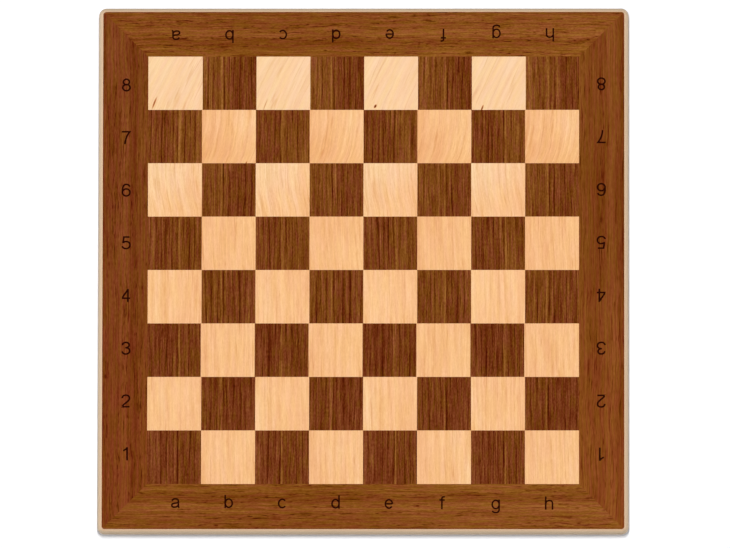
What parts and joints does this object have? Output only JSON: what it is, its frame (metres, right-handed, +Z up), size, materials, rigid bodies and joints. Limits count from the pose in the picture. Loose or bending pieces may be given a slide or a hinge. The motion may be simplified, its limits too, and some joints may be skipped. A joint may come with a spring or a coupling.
{
  "type": "chessboard",
  "caption": "Flat square chessboard: an inlaid field of light and dark veneer squares in a mitred dark veneer border, on a core panel with a pale rounded edge, on felt pads.",
  "frame": {"origin": "on the table under the middle of the board, in the plane of the pads' undersides", "axes": "+X from file a to file h, +Y from rank 1 to rank 8, +Z up out of the playing surface"},
  "size_m": [0.3936, 0.3936, 0.015],
  "materials": {
    "fibreboard": "bare fibreboard, sealed, low sheen",
    "backing_veneer": "satin lacquer",
    "border_veneer": "satin lacquer",
    "light_veneer": "satin lacquer",
    "dark_veneer": "satin lacquer",
    "felt": "pressed felt",
    "coordinate_ink": "printed ink under the lacquer"
  },
  "bodies": {
    "root": {"core_panel": "fibreboard", "backing_veneer": "backing_veneer", "border_veneer_back": "border_veneer", "border_veneer_left": "border_veneer", "border_veneer_front": "border_veneer", "border_veneer_right": "border_veneer", "rank_1_light_squares": "light_veneer", "rank_1_dark_squares": "dark_veneer", "rank_2_light_squares": "light_veneer", "rank_2_dark_squares": "dark_veneer", "rank_3_light_squares": "light_veneer", "rank_3_dark_squares": "dark_veneer", "rank_4_light_squares": "light_veneer", "rank_4_dark_squares": "dark_veneer", "rank_5_light_squares": "light_veneer", "rank_5_dark_squares": "dark_veneer", "rank_6_light_squares": "light_veneer", "rank_6_dark_squares": "dark_veneer", "rank_7_light_squares": "light_veneer", "rank_7_dark_squares": "dark_veneer", "rank_8_light_squares": "light_veneer", "rank_8_dark_squares": "dark_veneer", "felt_pad_front_left": "felt", "felt_pad_front_right": "felt", "felt_pad_back_left": "felt", "felt_pad_back_right": "felt"}
  },
  "joints": []
}
